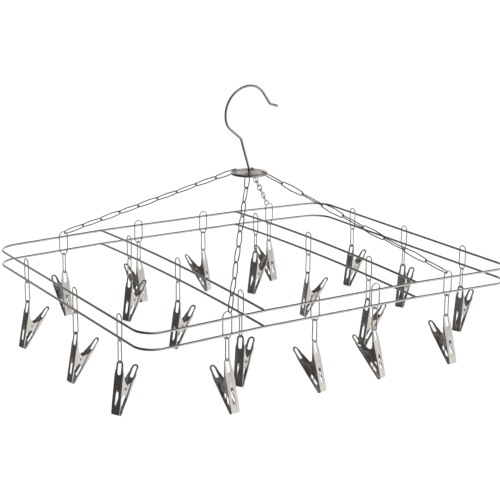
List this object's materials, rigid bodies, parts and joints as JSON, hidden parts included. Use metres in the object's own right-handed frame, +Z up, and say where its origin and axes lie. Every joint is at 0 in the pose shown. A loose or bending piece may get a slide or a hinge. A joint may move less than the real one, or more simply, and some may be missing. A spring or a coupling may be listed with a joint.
{
  "type": "clip drying hanger",
  "caption": "Rectangular wire drying hanger on a swivel hook, with chains up to a round hub plate and stamped spring clips hung on wire loops.",
  "frame": {"origin": "inside of the hook crown, where the hanger hangs, on the swivel axis", "axes": "+Z up; +X along the long side of the frame, the way the hook opens; +Y along its short side"},
  "size_m": [0.5381, 0.4426, 0.3202],
  "materials": {
    "frame_wire": "polished",
    "hook_wire": "polished",
    "thin_wire": "polished",
    "clip_sheet": "satin",
    "hub_sheet": "satin",
    "pin_steel": "polished"
  },
  "bodies": {
    "hook": {"hook_wire": "hook_wire", "hook_head": "pin_steel"},
    "frame": {"back_rail_loops": "thin_wire", "chain_back_left": "thin_wire", "chain_back_right": "thin_wire", "chain_front_left": "thin_wire", "chain_front_right": "thin_wire", "front_rail_loops": "thin_wire", "hub_plate": "hub_sheet", "left_crossbar_loops": "thin_wire", "left_rail_loops": "thin_wire", "lower_left_crossbar": "frame_wire", "lower_rail_loop": "frame_wire", "lower_right_crossbar": "frame_wire", "right_crossbar_loops": "thin_wire", "right_rail_loops": "thin_wire", "upper_left_crossbar": "frame_wire", "upper_rail_loop": "frame_wire", "upper_right_crossbar": "frame_wire"},
    "clip_01": {"clip_01_hung_jaw": "clip_sheet"},
    "jaw_01": {"clip_01_free_jaw": "clip_sheet"},
    "clip_02": {"clip_02_hung_jaw": "clip_sheet"},
    "jaw_02": {"clip_02_free_jaw": "clip_sheet"},
    "clip_03": {"clip_03_hung_jaw": "clip_sheet"},
    "jaw_03": {"clip_03_free_jaw": "clip_sheet"},
    "clip_04": {"clip_04_hung_jaw": "clip_sheet"},
    "jaw_04": {"clip_04_free_jaw": "clip_sheet"},
    "clip_05": {"clip_05_hung_jaw": "clip_sheet"},
    "jaw_05": {"clip_05_free_jaw": "clip_sheet"},
    "clip_06": {"clip_06_hung_jaw": "clip_sheet"},
    "jaw_06": {"clip_06_free_jaw": "clip_sheet"},
    "clip_07": {"clip_07_hung_jaw": "clip_sheet"},
    "jaw_07": {"clip_07_free_jaw": "clip_sheet"},
    "clip_08": {"clip_08_hung_jaw": "clip_sheet"},
    "jaw_08": {"clip_08_free_jaw": "clip_sheet"},
    "clip_09": {"clip_09_hung_jaw": "clip_sheet"},
    "jaw_09": {"clip_09_free_jaw": "clip_sheet"},
    "clip_10": {"clip_10_hung_jaw": "clip_sheet"},
    "jaw_10": {"clip_10_free_jaw": "clip_sheet"},
    "clip_11": {"clip_11_hung_jaw": "clip_sheet"},
    "jaw_11": {"clip_11_free_jaw": "clip_sheet"},
    "clip_12": {"clip_12_hung_jaw": "clip_sheet"},
    "jaw_12": {"clip_12_free_jaw": "clip_sheet"},
    "clip_13": {"clip_13_hung_jaw": "clip_sheet"},
    "jaw_13": {"clip_13_free_jaw": "clip_sheet"},
    "clip_14": {"clip_14_hung_jaw": "clip_sheet"},
    "jaw_14": {"clip_14_free_jaw": "clip_sheet"},
    "clip_15": {"clip_15_hung_jaw": "clip_sheet"},
    "jaw_15": {"clip_15_free_jaw": "clip_sheet"},
    "clip_16": {"clip_16_hung_jaw": "clip_sheet"},
    "jaw_16": {"clip_16_free_jaw": "clip_sheet"},
    "clip_17": {"clip_17_hung_jaw": "clip_sheet"},
    "jaw_17": {"clip_17_free_jaw": "clip_sheet"},
    "clip_18": {"clip_18_hung_jaw": "clip_sheet"},
    "jaw_18": {"clip_18_free_jaw": "clip_sheet"},
    "clip_19": {"clip_19_hung_jaw": "clip_sheet"},
    "jaw_19": {"clip_19_free_jaw": "clip_sheet"},
    "clip_20": {"clip_20_hung_jaw": "clip_sheet"},
    "jaw_20": {"clip_20_free_jaw": "clip_sheet"}
  },
  "joints": [
    {"name": "hook_swivel", "type": "hinge", "parent": "hook", "child": "frame", "pos_m": [0, 0, -0.1038], "axis": [0, 0, 1], "continuous": true},
    {"name": "clip_01_swing", "type": "hinge", "parent": "frame", "child": "clip_01", "pos_m": [-0.24805, 0.109, -0.2343], "axis": [-0.1599, 0.9871, 0], "range_deg": [-25, 25]},
    {"name": "jaw_01_opening", "type": "hinge", "parent": "clip_01", "child": "jaw_01", "pos_m": [-0.24572, 0.10938, -0.28926], "axis": [0.1599, -0.9871, 0], "range_deg": [0, 30], "stiffness_Nm_per_rad": 0.05, "springref_deg": -28.65},
    {"name": "clip_02_swing", "type": "hinge", "parent": "frame", "child": "clip_02", "pos_m": [-0.159, 0.19805, -0.23212], "axis": [-0.9932, -0.1167, 0], "range_deg": [-25, 25]},
    {"name": "jaw_02_opening", "type": "hinge", "parent": "clip_02", "child": "jaw_02", "pos_m": [-0.15943, 0.20175, -0.28694], "axis": [0.9932, 0.1167, 0], "range_deg": [0, 30], "stiffness_Nm_per_rad": 0.05, "springref_deg": -28.65},
    {"name": "clip_03_swing", "type": "hinge", "parent": "frame", "child": "clip_03", "pos_m": [-0.24805, -0.029, -0.2343], "axis": [-0.1219, 0.9925, 0], "range_deg": [-25, 25]},
    {"name": "jaw_03_opening", "type": "hinge", "parent": "clip_03", "child": "jaw_03", "pos_m": [-0.24508, -0.02864, -0.28921], "axis": [0.1219, -0.9925, 0], "range_deg": [0, 30], "stiffness_Nm_per_rad": 0.05, "springref_deg": -28.65},
    {"name": "clip_04_swing", "type": "hinge", "parent": "frame", "child": "clip_04", "pos_m": [-0.24805, -0.14, -0.2343], "axis": [-0.454, 0.891, 0], "range_deg": [-25, 25]},
    {"name": "jaw_04_opening", "type": "hinge", "parent": "clip_04", "child": "jaw_04", "pos_m": [-0.24534, -0.13862, -0.2892], "axis": [0.454, -0.891, 0], "range_deg": [0, 30], "stiffness_Nm_per_rad": 0.05, "springref_deg": -28.65},
    {"name": "clip_05_swing", "type": "hinge", "parent": "frame", "child": "clip_05", "pos_m": [-0.10205, 0.123, -0.22831], "axis": [-0.3584, 0.9336, 0], "range_deg": [-25, 25]},
    {"name": "jaw_05_opening", "type": "hinge", "parent": "clip_05", "child": "jaw_05", "pos_m": [-0.09867, 0.1243, -0.28315], "axis": [0.3584, -0.9336, 0], "range_deg": [0, 30], "stiffness_Nm_per_rad": 0.05, "springref_deg": -28.65},
    {"name": "clip_06_swing", "type": "hinge", "parent": "frame", "child": "clip_06", "pos_m": [-0.05, 0.19805, -0.2308], "axis": [-0.9751, -0.2215, 0], "range_deg": [-25, 25]},
    {"name": "jaw_06_opening", "type": "hinge", "parent": "clip_06", "child": "jaw_06", "pos_m": [-0.05055, 0.20046, -0.28575], "axis": [0.9751, 0.2215, 0], "range_deg": [0, 30], "stiffness_Nm_per_rad": 0.05, "springref_deg": -28.65},
    {"name": "clip_07_swing", "type": "hinge", "parent": "frame", "child": "clip_07", "pos_m": [-0.10205, -0.004, -0.2268], "axis": [-0.3173, 0.9483, 0], "range_deg": [-25, 25]},
    {"name": "jaw_07_opening", "type": "hinge", "parent": "clip_07", "child": "jaw_07", "pos_m": [-0.09926, -0.00307, -0.28171], "axis": [0.3173, -0.9483, 0], "range_deg": [0, 30], "stiffness_Nm_per_rad": 0.05, "springref_deg": -28.65},
    {"name": "clip_08_swing", "type": "hinge", "parent": "frame", "child": "clip_08", "pos_m": [0.05, 0.19805, -0.2308], "axis": [-0.8918, -0.4524, 0], "range_deg": [-25, 25]},
    {"name": "jaw_08_opening", "type": "hinge", "parent": "clip_08", "child": "jaw_08", "pos_m": [0.04855, 0.2009, -0.28569], "axis": [0.8918, 0.4524, 0], "range_deg": [0, 30], "stiffness_Nm_per_rad": 0.05, "springref_deg": -28.65},
    {"name": "clip_09_swing", "type": "hinge", "parent": "frame", "child": "clip_09", "pos_m": [-0.15, -0.19805, -0.2319], "axis": [-0.9949, -0.1011, 0], "range_deg": [-25, 25]},
    {"name": "jaw_09_opening", "type": "hinge", "parent": "clip_09", "child": "jaw_09", "pos_m": [-0.15003, -0.19778, -0.28696], "axis": [0.9949, 0.1011, 0], "range_deg": [0, 30], "stiffness_Nm_per_rad": 0.05, "springref_deg": -28.65},
    {"name": "clip_10_swing", "type": "hinge", "parent": "frame", "child": "clip_10", "pos_m": [-0.10205, -0.1475, -0.22898], "axis": [-0.5299, 0.848, 0], "range_deg": [-25, 25]},
    {"name": "jaw_10_opening", "type": "hinge", "parent": "clip_10", "child": "jaw_10", "pos_m": [-0.09766, -0.14476, -0.28358], "axis": [0.5299, -0.848, 0], "range_deg": [0, 30], "stiffness_Nm_per_rad": 0.05, "springref_deg": -28.65},
    {"name": "clip_11_swing", "type": "hinge", "parent": "frame", "child": "clip_11", "pos_m": [0.10205, 0.145, -0.2289], "axis": [-0.4384, 0.8988, 0], "range_deg": [-25, 25]},
    {"name": "jaw_11_opening", "type": "hinge", "parent": "clip_11", "child": "jaw_11", "pos_m": [0.10413, 0.14601, -0.28387], "axis": [0.4384, -0.8988, 0], "range_deg": [0, 30], "stiffness_Nm_per_rad": 0.05, "springref_deg": -28.65},
    {"name": "clip_12_swing", "type": "hinge", "parent": "frame", "child": "clip_12", "pos_m": [0.158, 0.19805, -0.23209], "axis": [-0.9885, -0.1513, 0], "range_deg": [-25, 25]},
    {"name": "jaw_12_opening", "type": "hinge", "parent": "clip_12", "child": "jaw_12", "pos_m": [0.15778, 0.19951, -0.28711], "axis": [0.9885, 0.1513, 0], "range_deg": [0, 30], "stiffness_Nm_per_rad": 0.05, "springref_deg": -28.65},
    {"name": "clip_13_swing", "type": "hinge", "parent": "frame", "child": "clip_13", "pos_m": [0.10205, 0.018, -0.22683], "axis": [0.0558, 0.9984, 0], "range_deg": [-25, 25]},
    {"name": "jaw_13_opening", "type": "hinge", "parent": "clip_13", "child": "jaw_13", "pos_m": [0.10634, 0.01776, -0.28158], "axis": [-0.0558, -0.9984, 0], "range_deg": [0, 30], "stiffness_Nm_per_rad": 0.05, "springref_deg": -28.65},
    {"name": "clip_14_swing", "type": "hinge", "parent": "frame", "child": "clip_14", "pos_m": [-0.037, -0.19805, -0.2308], "axis": [-0.9516, -0.3074, 0], "range_deg": [-25, 25]},
    {"name": "jaw_14_opening", "type": "hinge", "parent": "clip_14", "child": "jaw_14", "pos_m": [-0.03729, -0.19714, -0.28584], "axis": [0.9516, 0.3074, 0], "range_deg": [0, 30], "stiffness_Nm_per_rad": 0.05, "springref_deg": -28.65},
    {"name": "clip_15_swing", "type": "hinge", "parent": "frame", "child": "clip_15", "pos_m": [0.24805, 0.121, -0.2343], "axis": [-0.2317, 0.9728, 0], "range_deg": [-25, 25]},
    {"name": "jaw_15_opening", "type": "hinge", "parent": "clip_15", "child": "jaw_15", "pos_m": [0.25121, 0.12175, -0.28918], "axis": [0.2317, -0.9728, 0], "range_deg": [0, 30], "stiffness_Nm_per_rad": 0.05, "springref_deg": -28.65},
    {"name": "clip_16_swing", "type": "hinge", "parent": "frame", "child": "clip_16", "pos_m": [0.10205, -0.111, -0.22803], "axis": [-0.1132, 0.9936, 0], "range_deg": [-25, 25]},
    {"name": "jaw_16_opening", "type": "hinge", "parent": "clip_16", "child": "jaw_16", "pos_m": [0.10564, -0.11059, -0.28287], "axis": [0.1132, -0.9936, 0], "range_deg": [0, 30], "stiffness_Nm_per_rad": 0.05, "springref_deg": -28.65},
    {"name": "clip_17_swing", "type": "hinge", "parent": "frame", "child": "clip_17", "pos_m": [0.046, -0.19805, -0.2308], "axis": [-0.9415, -0.3371, 0], "range_deg": [-25, 25]},
    {"name": "jaw_17_opening", "type": "hinge", "parent": "clip_17", "child": "jaw_17", "pos_m": [0.04561, -0.19696, -0.28583], "axis": [0.9415, 0.3371, 0], "range_deg": [0, 30], "stiffness_Nm_per_rad": 0.05, "springref_deg": -28.65},
    {"name": "clip_18_swing", "type": "hinge", "parent": "frame", "child": "clip_18", "pos_m": [0.24805, 0.005, -0.2343], "axis": [-0.4226, 0.9063, 0], "range_deg": [-25, 25]},
    {"name": "jaw_18_opening", "type": "hinge", "parent": "clip_18", "child": "jaw_18", "pos_m": [0.25204, 0.00686, -0.28903], "axis": [0.4226, -0.9063, 0], "range_deg": [0, 30], "stiffness_Nm_per_rad": 0.05, "springref_deg": -28.65},
    {"name": "clip_19_swing", "type": "hinge", "parent": "frame", "child": "clip_19", "pos_m": [0.152, -0.19805, -0.23195], "axis": [-0.9994, -0.0349, 0], "range_deg": [-25, 25]},
    {"name": "jaw_19_opening", "type": "hinge", "parent": "clip_19", "child": "jaw_19", "pos_m": [0.152, -0.1981, -0.28701], "axis": [0.9994, 0.0349, 0], "range_deg": [0, 30], "stiffness_Nm_per_rad": 0.05, "springref_deg": -28.65},
    {"name": "clip_20_swing", "type": "hinge", "parent": "frame", "child": "clip_20", "pos_m": [0.24805, -0.113, -0.2343], "axis": [-0.342, 0.9397, 0], "range_deg": [-25, 25]},
    {"name": "jaw_20_opening", "type": "hinge", "parent": "clip_20", "child": "jaw_20", "pos_m": [0.25243, -0.11141, -0.28899], "axis": [0.342, -0.9397, 0], "range_deg": [0, 30], "stiffness_Nm_per_rad": 0.05, "springref_deg": -28.65}
  ]
}
